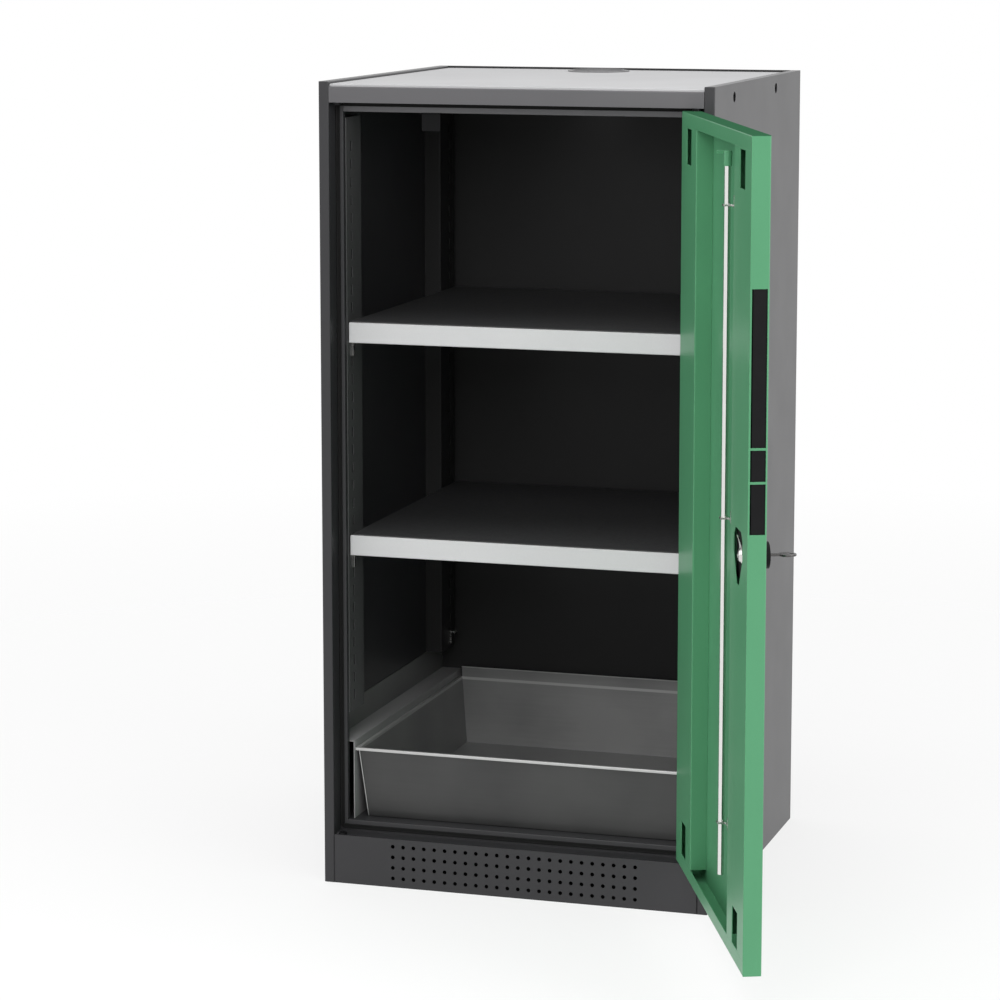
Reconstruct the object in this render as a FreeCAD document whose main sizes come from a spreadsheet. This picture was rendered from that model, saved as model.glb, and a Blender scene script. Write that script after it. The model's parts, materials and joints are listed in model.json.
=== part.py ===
import FreeCAD, Part

import os
import re
import Sketcher

# A floor-standing chemical storage cabinet of folded sheet steel: a carcass with two shelves and a sump
# tray, and one inset door that hangs on pivot pins at the right. The front faces -Y, +X is to the right
# and +Z is up. The origin is on the floor, in the middle of the carcass. Lengths are in millimetres.

SIZES = {
    # Carcass
    "cabinet_width": 545.0,
    "cabinet_depth": 520.0,
    "cabinet_height": 1105.0,
    "sheet": 1.2,
    "bend_radius": 1.6,
    "post_face": 14.4,
    "rebate_depth": 27.5,
    "stop_width": 10.8,
    "stop_hem": 8.0,
    "rear_flange": 14.0,
    "top_lip": 12.0,
    "top_recess": 3.0,
    "top_skirt": 17.0,
    "link_hole": 14.0,
    "link_hole_drop": 18.0,
    "link_hole_front": 110.0,
    "link_hole_pitch": 250.0,
    # Header, floor and plinth
    "header_reveal": 6.5,
    "header_height": 21.5,
    "header_setback": 4.0,
    "stop_overlap": 13.5,
    "plinth_height": 68.5,
    "floor_rise": 15.5,
    "plinth_flange": 18.0,
    "vent_width": 4.9,
    "vent_pitch": 15.0,
    "vent_columns": 24,
    "vent_rows": 4,
    "vent_lift": 12.8,
    "stringer_width": 60.0,
    "rail_flange": 17.0,
    "bearer_width": 30.0,
    "bearer_length": 430.0,
    # Exhaust
    "collar_radius": 36.0,
    "collar_sides": 24,
    "collar_wall": 1.6,
    "collar_flange": 7.0,
    "collar_drop": 20.0,
    "collar_shift": 13.0,
    "collar_rear": 55.0,
    # Uprights, shelves and clips
    "upright_reach": 24.8,
    "upright_depth": 60.0,
    "upright_top": 1055.0,
    "rear_upright_inset": 15.0,
    "slot_first": 22.7,
    "slot_pitch": 24.5,
    "slot_count": 32,
    "slot_width": 5.0,
    "slot_height": 14.0,
    "slot_inset": 20.0,
    "upper_shelf_step": 20,
    "lower_shelf_step": 8,
    "spare_clip_step": 0,
    "shelf_lip": 28.0,
    "shelf_side_gap": 2.1,
    "shelf_front": 35.0,
    "shelf_rear_gap": 15.0,
    "shelf_hem": 9.0,
    "mat_thickness": 1.5,
    "mat_margin": 2.0,
    "clip_rise": 3.5,
    "clip_sheet": 2.0,
    "clip_width": 4.4,
    "clip_tab_width": 12.0,
    "clip_tab": 10.0,
    "clip_leg": 20.0,
    "clip_hook": 14.0,
    "fit_gap": 0.3,
    # Sump tray, its side supports and the strips that keep splashes off the side panels
    "tray_height": 100.0,
    "tray_taper": 10.0,
    "tray_front": 38.0,
    "tray_rear_gap": 12.0,
    "tray_rim": 4.0,
    "tray_upstand": 16.0,
    "tray_side_gap": 0.8,
    "support_reach": 31.0,
    "support_height": 110.0,
    "strip_height": 39.0,
    # Door and its hinges
    "door_thickness": 23.0,
    "door_side_gap": 2.6,
    "door_head_gap": 3.5,
    "door_foot_gap": 3.0,
    "door_lip": 18.0,
    "door_rest_angle": 113.2,
    "pivot_inset": 5.5,
    "pivot_margin": 8.5,
    "pin_radius": 3.0,
    "pin_length": 46.0,
    "pin_collar_radius": 3.9,
    "pin_collar_height": 8.0,
    "bush_radius": 4.2,
    "bush_flange": 1.4,
    "bush_sides": 12,
    "bush_length": 8.0,
    "running_gap": 0.05,
    "seal_width": 6.0,
    "seal_thickness": 1.8,
    "stile_width": 115.0,
    "window_width": 36.0,
    "window_height": 46.0,
    "window_lift": 20.0,
    "centre_line": 59.0,
    # Grip in the free edge of the door
    "grip_lift": 35.0,
    "grip_height": 289.0,
    "grip_wall": 2.0,
    "grip_width": 32.0,
    "grip_edge": 6.0,
    "grip_depth": 18.0,
    "grip_window": 18.5,
    "grip_bridge": 3.0,
    "grip_lower_bridge": 60.0,
    "grip_upper_bridge": 100.0,
    # Lock and key
    "lock_height": 572.0,
    "rose_radius": 16.3,
    "rose_sides": 24,
    "rose_height": 13.0,
    "barrel_radius": 9.3,
    "barrel_length": 31.0,
    "barrel_setback": 0.5,
    "plug_radius": 6.0,
    "nut_radius": 14.0,
    "nut_sides": 6,
    "nut_height": 4.0,
    "cutout_shift": 4.0,
    "cutout_width": 60.0,
    "cutout_rise": 31.0,
    "cutout_drop": 36.0,
    "cutout_foot": 16.0,
    "cutout_taper": 34.0,
    "cutout_bevel": 10.0,
    "case_width": 66.0,
    "case_height": 62.0,
    "case_depth": 9.0,
    "cam_sheet": 2.0,
    "cam_radius": 10.0,
    "cam_tip_radius": 4.0,
    "cam_reach": 24.0,
    "cam_screw_radius": 3.5,
    "cam_screw_height": 0.8,
    "key_sheet": 2.2,
    "key_blade": 8.0,
    "key_insert": 17.0,
    "key_shank": 12.0,
    "key_bow": 22.0,
    "key_sides": 16,
    "key_hole": 5.0,
    "key_play": 0.2,
    # Locking rod, its brackets and its keeper
    "rod_radius": 4.0,
    "rod_place": 151.0,
    "rod_proud": 1.5,
    "rod_foot": 83.5,
    "rod_head": 45.5,
    "hook_radius": 5.0,
    "hook_length": 18.0,
    "hook_height": 4.0,
    "hook_arm": 8.0,
    "hook_finger": 4.0,
    "hook_reach": 12.0,
    "bracket_sheet": 2.5,
    "bracket_edge": 5.6,
    "bracket_tab": 16.0,
    "bracket_foot": 148.5,
    "bracket_head": 93.5,
    "bracket_count": 3,
    "keeper_width": 26.0,
    "keeper_gap": 2.0,
    "keeper_side": 6.0,
    "keeper_drop": 24.0,
    # Cuts run past the faces that they open
    "overrun": 1.0,
}

# Places that several pieces share, in terms of the sizes
PLACES = {
    "half_width": "cabinet_width / 2",
    "half_depth": "cabinet_depth / 2",
    "side_inside": "half_width - sheet",
    "opening_side": "half_width - post_face",
    "stop_edge": "opening_side - stop_width",
    "stop_face": "rebate_depth - half_depth",
    "stop_back": "stop_face + sheet",
    "hem_end": "stop_face + stop_hem",
    "back_inside": "half_depth - sheet - sheet",
    "top_level": "cabinet_height - top_recess",
    "skirt_bottom": "top_level - top_skirt",
    "skirt_front": "header_setback - half_depth",
    "header_top": "cabinet_height - header_reveal",
    "header_bottom": "header_top - header_height",
    "stop_bottom": "header_bottom - stop_overlap",
    "floor_level": "plinth_height + floor_rise",
    "floor_underside": "floor_level - sheet",
    "plinth_back": "plinth_flange - half_depth",
    "rail_front": "back_inside - rail_flange",
    "support_level": "floor_level + support_height",
    "support_edge": "side_inside - support_reach",
    "upright_face": "side_inside - upright_reach",
    "front_upright": "hem_end + fit_gap",
    "rear_upright": "back_inside - rear_upright_inset - upright_depth",
    "front_slot": "front_upright + slot_inset",
    "rear_slot": "rear_upright + upright_depth - slot_inset",
    "upright_foot": "support_level + strip_height + fit_gap",
    "slot_base": "upright_foot + slot_first",
    "shelf_side": "upright_face - shelf_side_gap",
    "shelf_near": "shelf_front - half_depth",
    "shelf_far": "back_inside - shelf_rear_gap",
    "collar_place": "half_depth - collar_rear",
    "collar_outside": "collar_radius + collar_wall",
    "tray_half": "support_edge - tray_side_gap - tray_rim",
    "tray_near": "tray_front - half_depth",
    "tray_far": "back_inside - tray_rear_gap",
    "rim_level": "floor_level + tray_height",
    "door_bottom": "plinth_height + door_foot_gap",
    "door_top": "header_bottom - door_head_gap",
    "pivot_x": "opening_side - door_side_gap - pivot_margin",
    "pivot_y": "pivot_inset - half_depth",
    "door_front": "-pivot_inset",
    "door_back": "door_thickness - pivot_inset",
    "door_middle": "door_thickness / 2 - pivot_inset",
    "free_edge": "pivot_margin - (opening_side - door_side_gap) * 2",
    "lock_x": "free_edge + centre_line",
    "cutout_x": "lock_x + cutout_shift",
    "rose_face": "door_front - rose_height",
    "cam_level": "rose_face + barrel_setback + barrel_length + fit_gap",
    "rod_x": "free_edge + rod_place",
    "rod_bottom": "door_bottom + rod_foot",
    "rod_top": "door_top - rod_head",
    "hook_top": "rod_top + hook_length",
    "grip_bottom": "lock_height + grip_lift",
    "rod_y": "door_back + rod_proud",
    "flank_face": "free_edge + stile_width",
    "bracket_first": "door_bottom + bracket_foot",
    "bracket_pitch": "(door_top - bracket_head - bracket_first) / (bracket_count - 1)",
    "pin_reach": "bush_length - fit_gap",
    "head_flange": "door_head_gap - fit_gap",
    "foot_flange": "door_foot_gap - fit_gap",
}

# Edges closer to a place than this lie on it
SAME_PLACE = 0.001

document = FreeCAD.newDocument("Cabinet")
sizes_sheet = document.addObject("Spreadsheet::Sheet", "Sizes")
for row, (alias, size) in enumerate(SIZES.items(), start=1):
    sizes_sheet.set(f"A{row}", alias)
    sizes_sheet.set(f"B{row}", str(size))
    sizes_sheet.setAlias(f"B{row}", alias)
document.recompute()

SUBPARTS = []


def bound(text):
    """Turns words for sizes and shared places into references to the sheet."""
    def word(match):
        name = match.group(0)
        if name in PLACES:
            return "(" + bound(PLACES[name]) + ")"
        if name in SIZES:
            return "Sizes." + name
        return name
    return re.sub(r"[a-z][a-z_]+", word, text)


def new_body(label):
    """Starts a sub-part."""
    body = document.addObject("PartDesign::Body", label)
    body.Label = label
    SUBPARTS.append(body)
    return body


def new_door_body(label):
    """Starts a sub-part that is drawn about the door's pivot, with the door closed, and hung ajar."""
    body = new_body(label)
    body.setExpression("Placement.Base.x", bound("pivot_x"))
    body.setExpression("Placement.Base.y", bound("pivot_y"))
    body.setExpression("Placement.Rotation.Angle", bound("door_rest_angle"))
    return body


def origin_item(body, role):
    """Finds one of the body's own planes or axes."""
    return [item for item in body.Origin.OriginFeatures if item.Role == role][0]


def new_sketch(body, plane, level):
    """Puts a sketch on one of the body's planes, moved along the plane's axis to the level."""
    sketch = body.newObject("Sketcher::SketchObject", body.Label + "_sketch")
    sketch.AttachmentSupport = [(origin_item(body, plane + "_Plane"), "")]
    sketch.MapMode = "FlatFace"
    sign = "-1" if plane == "XZ" else "1"
    sketch.setExpression("AttachmentOffset.Base.z", f"{sign} * ({bound(level)})")
    sketch.Visibility = False
    return sketch


def tie_point(sketch, geometry, vertex, place, guess):
    """Ties one point of a sketch to its place, measured from the sketch's origin."""
    for axis, text, start in (("DistanceX", place[0], guess[0]), ("DistanceY", place[1], guess[1])):
        index = sketch.addConstraint(Sketcher.Constraint(axis, -1, 1, geometry, vertex, float(start)))
        sketch.setExpression(f"Constraints[{index}]", bound(text))


def tie_radius(sketch, geometry, text):
    """Ties the radius of a circle or arc to a size."""
    index = sketch.addConstraint(Sketcher.Constraint("Radius", geometry, 1.0))
    sketch.setExpression(f"Constraints[{index}]", bound(text))


def draw_outline(sketch, points):
    """Draws a closed outline of straight lines through the points."""
    first = sketch.GeometryCount
    count = len(points)
    turn = FreeCAD.Rotation(FreeCAD.Vector(0, 0, 1), 360 / count)
    start = [FreeCAD.Vector(1, 0, 0)]
    for _ in range(count):
        start.append(turn.multVec(start[-1]))
    for index in range(count):
        sketch.addGeometry(Part.LineSegment(start[index], start[index + 1]), False)
    for index in range(count):
        following = first + (index + 1) % count
        sketch.addConstraint(Sketcher.Constraint("Coincident", first + index, 2, following, 1))
    for index, place in enumerate(points):
        tie_point(sketch, first + index, 1, place, start[index])


def draw_box(sketch, low, high):
    """Draws a rectangle between two opposite corners."""
    draw_outline(sketch, [low, (high[0], low[1]), high, (low[0], high[1])])


def draw_circle(sketch, centre, radius):
    """Draws a circle."""
    circle = sketch.addGeometry(Part.Circle(), False)
    tie_point(sketch, circle, 3, centre, (0, 0))
    tie_radius(sketch, circle, radius)


def draw_polygon(sketch, centre, radius, sides):
    """Draws a regular polygon whose corners lie on a circle of the radius."""
    step = 360 / sides
    points = []
    for index in range(sides):
        turn = step * (index + 1 / 2)
        across = f"{centre[0]} + ({radius}) * cos({turn} deg)"
        upward = f"{centre[1]} + ({radius}) * sin({turn} deg)"
        points.append((across, upward))
    draw_outline(sketch, points)


def extrude(body, kind, sketch, length, plane):
    """Pads or pockets a sketch towards the positive side of its axis."""
    feature = body.newObject("PartDesign::" + kind, body.Label + "_" + kind.lower())
    feature.Profile = sketch
    feature.setExpression("Length", bound(length))
    feature.Reversed = (plane == "XZ") == (kind == "Pad")
    return feature


def add_outline(body, plane, level, length, points):
    """Adds a prism over an outline."""
    sketch = new_sketch(body, plane, level)
    draw_outline(sketch, points)
    return extrude(body, "Pad", sketch, length, plane)


def add_box(body, plane, level, length, low, high):
    """Adds a rectangular prism."""
    sketch = new_sketch(body, plane, level)
    draw_box(sketch, low, high)
    return extrude(body, "Pad", sketch, length, plane)


def add_frame(body, plane, level, length, outer, inner):
    """Adds a flat rectangular frame."""
    sketch = new_sketch(body, plane, level)
    draw_box(sketch, *outer)
    draw_box(sketch, *inner)
    return extrude(body, "Pad", sketch, length, plane)


def cut_box(body, plane, level, length, low, high):
    """Cuts a rectangular opening."""
    sketch = new_sketch(body, plane, level)
    draw_box(sketch, low, high)
    return extrude(body, "Pocket", sketch, length, plane)


def add_disc(body, plane, level, length, centre, radius, bore=None):
    """Adds a round piece, with a bore where one is named."""
    sketch = new_sketch(body, plane, level)
    draw_circle(sketch, centre, radius)
    if bore:
        draw_circle(sketch, centre, bore)
    return extrude(body, "Pad", sketch, length, plane)


def add_polygon(body, plane, level, length, centre, radius, sides, bore):
    """Adds a piece with flat sides and a round bore."""
    sketch = new_sketch(body, plane, level)
    draw_polygon(sketch, centre, radius, sides)
    draw_circle(sketch, centre, bore)
    return extrude(body, "Pad", sketch, length, plane)


def cut_disc(body, plane, level, length, centre, radius):
    """Cuts a round hole."""
    sketch = new_sketch(body, plane, level)
    draw_circle(sketch, centre, radius)
    return extrude(body, "Pocket", sketch, length, plane)


def repeat(body, feature, axis, pitch, count, second=None):
    """Repeats a feature along one axis, or along two where a second axis, pitch and count are given."""
    pattern = body.newObject("PartDesign::LinearPattern", body.Label + "_pattern")
    pattern.Originals = [feature]
    pattern.Direction = (origin_item(body, axis + "_Axis"), [""])
    pattern.setExpression("Length", bound(f"{pitch} * ({count} - 1)"))
    pattern.setExpression("Occurrences", bound(count))
    if second:
        pattern.Direction2 = (origin_item(body, second[0] + "_Axis"), [""])
        pattern.setExpression("Length2", bound(f"{second[1]} * ({second[2]} - 1)"))
        pattern.setExpression("Occurrences2", bound(second[2]))
    body.Tip = pattern
    return pattern


def round_edges(body, wanted, radius):
    """Rounds the edges that the test picks out of the body's shape so far."""
    document.recompute()
    base = body.Tip
    box = base.Shape.BoundBox
    names = [f"Edge{number}" for number, edge in enumerate(base.Shape.Edges, 1) if wanted(edge, box)]
    feature = body.newObject("PartDesign::Fillet", body.Label + "_bend")
    feature.Base = (base, names)
    feature.setExpression("Radius", bound(radius))


def at_front_corner(edge, box):
    """Picks the long upright edges at the two front corners of the bounding box."""
    middle = edge.CenterOfMass
    aside = min(middle.x - box.XMin, box.XMax - middle.x) < SAME_PLACE
    front = middle.y - box.YMin < SAME_PLACE
    return aside and front and edge.Length > box.ZLength / 2


def mirrored(side, points):
    """Gives points drawn for the right-hand side on the named side, as 1 for right and -1 for left."""
    return [(f"{side} * ({across})", upward) for across, upward in points]


def slab_start(side, inner, thickness):
    """Gives where an upright slab starts along X, for a slab that begins at the inner distance."""
    return inner if side == 1 else f"-({inner}) - ({thickness})"


# Carcass

def side_panel(label, side):
    """A folded side: outer skin, front face, return, door stop with its hem, rear and top flanges."""
    body = new_body(label)
    add_outline(body, "XY", "0", "cabinet_height", mirrored(side, [
        ("half_width", "half_depth"),
        ("half_width", "-half_depth"),
        ("opening_side", "-half_depth"),
        ("opening_side", "stop_face"),
        ("stop_edge", "stop_face"),
        ("stop_edge", "hem_end"),
        ("stop_edge + sheet", "hem_end"),
        ("stop_edge + sheet", "stop_back"),
        ("opening_side + sheet", "stop_back"),
        ("opening_side + sheet", "sheet - half_depth"),
        ("side_inside", "sheet - half_depth"),
        ("side_inside", "half_depth - sheet"),
        ("half_width - rear_flange", "half_depth - sheet"),
        ("half_width - rear_flange", "half_depth"),
    ]))
    add_outline(body, "XZ", "-half_depth", "back_inside + half_depth", mirrored(side, [
        ("half_width", "cabinet_height - sheet"),
        ("half_width", "cabinet_height"),
        ("opening_side", "cabinet_height"),
        ("opening_side", "cabinet_height - top_lip"),
        ("opening_side + sheet", "cabinet_height - top_lip"),
        ("opening_side + sheet", "cabinet_height - sheet"),
    ]))
    corners = mirrored(side, [
        ("stop_edge - overrun", "stop_face - overrun"),
        ("opening_side", "hem_end + overrun"),
    ])
    cut_box(body, "XY", "header_bottom", "cabinet_height - header_bottom + overrun", *corners)
    start = slab_start(side, "side_inside - overrun", "sheet + overrun * 2")
    front_hole = "link_hole_front - half_depth"
    for along in (front_hole, f"{front_hole} + link_hole_pitch"):
        cut_disc(body, "YZ", start, "sheet + overrun * 2",
                 (along, "cabinet_height - link_hole_drop"), "link_hole / 2")
    round_edges(body, at_front_corner, "bend_radius")


def rear_panel():
    """The flat back, held in front of the rear flanges."""
    body = new_body("rear_panel")
    add_box(body, "XZ", "back_inside", "sheet", ("-side_inside", "0"), ("side_inside", "cabinet_height"))


def top_panel():
    """The recessed top, a shallow inverted pan with the exhaust hole."""
    body = new_body("top_panel")
    add_box(body, "XY", "skirt_bottom", "top_skirt",
            ("-opening_side", "skirt_front"), ("opening_side", "back_inside"))
    cut_box(body, "XY", "skirt_bottom - overrun", "top_skirt - sheet + overrun",
            ("sheet - opening_side", "skirt_front + sheet"), ("opening_side - sheet", "back_inside - sheet"))
    cut_disc(body, "XY", "skirt_bottom", "top_skirt + overrun",
             ("-collar_shift", "collar_place"), "collar_outside + fit_gap")


def exhaust_collar():
    """The spigot for an exhaust duct, with a flange that rests on the top."""
    body = new_body("exhaust_collar")
    place = ("-collar_shift", "collar_place")
    sides = SIZES["collar_sides"]
    add_polygon(body, "XY", "top_level - collar_drop", "collar_drop + top_recess",
                place, "collar_outside", sides, "collar_radius")
    add_polygon(body, "XY", "top_level", "collar_wall",
                place, "collar_outside + collar_flange", sides, "collar_radius")


def header_rail():
    """The folded header over the door, with the upper door stop and the two hinge holes."""
    body = new_body("header_rail")
    add_outline(body, "YZ", "-opening_side", "opening_side * 2", [
        ("-half_depth", "header_top"),
        ("-half_depth", "header_bottom"),
        ("stop_face", "header_bottom"),
        ("stop_face", "header_bottom + sheet"),
        ("sheet - half_depth", "header_bottom + sheet"),
        ("sheet - half_depth", "header_top - sheet"),
        ("skirt_front", "header_top - sheet"),
        ("skirt_front", "header_top"),
    ])
    add_outline(body, "YZ", "-stop_edge", "stop_edge * 2", [
        ("stop_face", "header_bottom + sheet"),
        ("stop_face", "stop_bottom"),
        ("hem_end", "stop_bottom"),
        ("hem_end", "stop_bottom + sheet"),
        ("stop_back", "stop_bottom + sheet"),
        ("stop_back", "header_bottom + sheet"),
    ])
    for across in ("pivot_x", "-pivot_x"):
        cut_disc(body, "XY", "header_bottom - overrun", "sheet + overrun * 2",
                 (across, "pivot_y"), "bush_radius + running_gap")


def floor_panel():
    """The floor, stepped up behind the door to make the lower door stop."""
    body = new_body("floor_panel")
    add_box(body, "XY", "plinth_height - sheet", "sheet",
            ("-opening_side", "sheet - half_depth"), ("opening_side", "stop_face"))
    add_box(body, "XY", "plinth_height - sheet", "floor_rise + sheet",
            ("-stop_edge", "stop_face"), ("stop_edge", "stop_back"))
    add_outline(body, "XY", "floor_underside", "sheet", [
        ("-stop_edge", "stop_face"),
        ("stop_edge", "stop_face"),
        ("stop_edge", "hem_end"),
        ("side_inside", "hem_end"),
        ("side_inside", "back_inside"),
        ("-side_inside", "back_inside"),
        ("-side_inside", "hem_end"),
        ("-stop_edge", "hem_end"),
    ])
    for across in ("pivot_x", "-pivot_x"):
        cut_disc(body, "XY", "plinth_height - sheet - overrun", "sheet + overrun * 2",
                 (across, "pivot_y"), "bush_radius + running_gap")


def plinth_panel():
    """The folded plinth with its field of ventilation holes."""
    body = new_body("plinth_panel")
    add_outline(body, "YZ", "-opening_side", "opening_side * 2", [
        ("-half_depth", "0"),
        ("plinth_back", "0"),
        ("plinth_back", "sheet"),
        ("sheet - half_depth", "sheet"),
        ("sheet - half_depth", "plinth_height - sheet * 2"),
        ("plinth_back", "plinth_height - sheet * 2"),
        ("plinth_back", "plinth_height - sheet"),
        ("sheet - half_depth", "plinth_height - sheet"),
        ("sheet - half_depth", "plinth_height"),
        ("-half_depth", "plinth_height"),
    ])
    for across in ("pivot_x", "-pivot_x"):
        cut_disc(body, "XY", "plinth_height - sheet * 2 - overrun", "sheet + overrun * 2",
                 (across, "pivot_y"), "bush_radius + running_gap")
    across = "-vent_pitch * (vent_columns - 1) / 2"
    first = cut_box(body, "XZ", "-half_depth - overrun", "sheet + overrun * 2",
                    (f"{across} - vent_width / 2", "vent_lift - vent_width / 2"),
                    (f"{across} + vent_width / 2", "vent_lift + vent_width / 2"))
    repeat(body, first, "X", "vent_pitch", "vent_columns", ("Z", "vent_pitch", "vent_rows"))


def rear_base_rail():
    """The channel that carries the back of the floor."""
    body = new_body("rear_base_rail")
    add_outline(body, "YZ", "-side_inside", "side_inside * 2", [
        ("back_inside", "0"),
        ("rail_front", "0"),
        ("rail_front", "floor_underside"),
        ("back_inside", "floor_underside"),
        ("back_inside", "floor_underside - sheet"),
        ("rail_front + sheet", "floor_underside - sheet"),
        ("rail_front + sheet", "sheet"),
        ("back_inside", "sheet"),
    ])


def base_stringer():
    """The channel along the middle that stands on the floor of the room and carries the tray's weight."""
    body = new_body("base_stringer")
    add_outline(body, "XZ", "stop_back", "rail_front - stop_back", [
        ("-stringer_width / 2", "floor_underside"),
        ("-stringer_width / 2", "0"),
        ("stringer_width / 2", "0"),
        ("stringer_width / 2", "floor_underside"),
        ("stringer_width / 2 - sheet", "floor_underside"),
        ("stringer_width / 2 - sheet", "sheet"),
        ("sheet - stringer_width / 2", "sheet"),
        ("sheet - stringer_width / 2", "floor_underside"),
    ])


def floor_bearer(label, side):
    """The angle on the side panel that carries one side of the floor."""
    body = new_body(label)
    add_outline(body, "XZ", "hem_end", "bearer_length", mirrored(side, [
        ("side_inside", "floor_underside"),
        ("side_inside - bearer_width", "floor_underside"),
        ("side_inside - bearer_width", "floor_underside - sheet"),
        ("side_inside - sheet", "floor_underside - sheet"),
        ("side_inside - sheet", "floor_underside - bearer_width"),
        ("side_inside", "floor_underside - bearer_width"),
    ]))


def upright(label, side, front, slot):
    """A slotted channel on the side panel, whose slots take the shelf clips."""
    body = new_body(label)
    add_outline(body, "XY", "upright_foot", "upright_top - upright_foot", mirrored(side, [
        ("side_inside", front),
        ("upright_face", front),
        ("upright_face", f"{front} + upright_depth"),
        ("side_inside", f"{front} + upright_depth"),
        ("side_inside", f"{front} + upright_depth - sheet"),
        ("upright_face + sheet", f"{front} + upright_depth - sheet"),
        ("upright_face + sheet", f"{front} + sheet"),
        ("side_inside", f"{front} + sheet"),
    ]))
    start = slab_start(side, "upright_face - overrun", "sheet + overrun * 2")
    first = cut_box(body, "YZ", start, "sheet + overrun * 2",
                    (f"{slot} - slot_width / 2", "slot_base - slot_height / 2"),
                    (f"{slot} + slot_width / 2", "slot_base + slot_height / 2"))
    repeat(body, first, "Z", "slot_pitch", "slot_count")


def shelf(label, step):
    """A folded shelf pan with a return along its front lip."""
    body = new_body(label)
    bottom = f"(slot_base + {step} * slot_pitch + clip_rise)"
    add_box(body, "XY", bottom, "shelf_lip", ("-shelf_side", "shelf_near"), ("shelf_side", "shelf_far"))
    cut_box(body, "XY", f"{bottom} - overrun", "shelf_lip - sheet + overrun",
            ("sheet - shelf_side", "shelf_near + sheet"), ("shelf_side - sheet", "shelf_far - sheet"))
    add_box(body, "XY", bottom, "sheet",
            ("sheet - shelf_side", "shelf_near + sheet"), ("shelf_side - sheet", "shelf_near + shelf_hem"))


def shelf_mat(label, step):
    """The loose rubber mat on a shelf."""
    body = new_body(label)
    level = f"(slot_base + {step} * slot_pitch + clip_rise + shelf_lip)"
    add_box(body, "XY", level, "mat_thickness",
            ("mat_margin - shelf_side", "shelf_near + mat_margin"),
            ("shelf_side - mat_margin", "shelf_far - mat_margin"))


def shelf_clips(label, step, places):
    """Bent clips that hook into the slots; the shelf's side lips rest on their tabs."""
    body = new_body(label)
    top = f"(slot_base + {step} * slot_pitch + clip_rise)"
    for side, slot in places:
        add_outline(body, "XZ", f"{slot} - clip_width / 2", "clip_width", mirrored(side, [
            ("upright_face - clip_tab", top),
            ("upright_face + sheet + fit_gap + clip_sheet", top),
            ("upright_face + sheet + fit_gap + clip_sheet", f"{top} - clip_hook"),
            ("upright_face + sheet + fit_gap", f"{top} - clip_hook"),
            ("upright_face + sheet + fit_gap", f"{top} - clip_sheet"),
            ("upright_face - fit_gap", f"{top} - clip_sheet"),
            ("upright_face - fit_gap", f"{top} - clip_leg"),
            ("upright_face - fit_gap - clip_sheet", f"{top} - clip_leg"),
            ("upright_face - fit_gap - clip_sheet", f"{top} - clip_sheet"),
            ("upright_face - clip_tab", f"{top} - clip_sheet"),
        ]))
        corners = mirrored(side, [
            ("upright_face - clip_tab", f"{top} - clip_sheet"),
            ("upright_face - fit_gap", top),
        ])
        add_box(body, "XZ", f"{slot} - clip_tab_width / 2", "clip_tab_width", *corners)


def tray_support(label, side):
    """The ledge beside the sump tray, with the web that it stands on."""
    body = new_body(label)
    add_outline(body, "XZ", "front_upright", "back_inside - front_upright", mirrored(side, [
        ("side_inside", "support_level"),
        ("support_edge", "support_level"),
        ("support_edge", "floor_level"),
        ("support_edge + sheet", "floor_level"),
        ("support_edge + sheet", "support_level - sheet"),
        ("side_inside", "support_level - sheet"),
    ]))


def splash_strip(label, side):
    """The strip that stands on a ledge against the side panel, under the uprights."""
    body = new_body(label)
    corners = mirrored(side, [
        ("side_inside - sheet", "support_level"),
        ("side_inside", "support_level + strip_height"),
    ])
    add_box(body, "XZ", "front_upright", "back_inside - front_upright", *corners)


def sump_tray():
    """The welded sump tray: tapered walls, a rim turned outwards and an upstand at the back."""
    body = new_body("sump_tray")

    def loft(kind, offset, low_level, low_taper):
        """Lofts between a rectangle at the bottom and one at the rim, both moved in by the offset."""
        sketches = []
        for level, taper in ((low_level, low_taper), ("rim_level", "0")):
            sketch = new_sketch(body, "XY", level)
            draw_box(sketch,
                     (f"{taper} + {offset} - tray_half", f"tray_near + tray_rim + {taper} + {offset}"),
                     (f"tray_half - {taper} - {offset}", f"tray_far - {taper} - {offset}"))
            sketches.append(sketch)
        feature = body.newObject(f"PartDesign::{kind}Loft", f"tray_{kind.lower()}_loft")
        feature.Profile = sketches[0]
        feature.Sections = [sketches[1]]
        feature.Ruled = True

    loft("Additive", "0", "floor_level", "tray_taper")
    loft("Subtractive", "sheet", "floor_level + sheet", "tray_taper")
    add_frame(body, "XY", "rim_level - sheet", "sheet",
              [("-tray_half - tray_rim", "tray_near"), ("tray_half + tray_rim", "tray_far")],
              [("sheet - tray_half", "tray_near + tray_rim + sheet"), ("tray_half - sheet", "tray_far - sheet")])
    add_box(body, "XZ", "tray_near", "sheet",
            ("-tray_half - tray_rim", "rim_level - tray_rim"), ("tray_half + tray_rim", "rim_level"))
    add_box(body, "XZ", "tray_far - sheet", "sheet",
            ("-tray_half", "rim_level"), ("tray_half", "rim_level + tray_upstand"))


def door_seal():
    """The rubber seal on the front of the door stop, all the way round."""
    body = new_body("door_seal")
    add_frame(body, "XZ", "stop_face - seal_thickness", "seal_thickness",
              [("-opening_side", "door_bottom"), ("opening_side", "header_bottom")],
              [("seal_width - opening_side", "door_bottom + seal_width"),
               ("opening_side - seal_width", "header_bottom - seal_width")])


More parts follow.
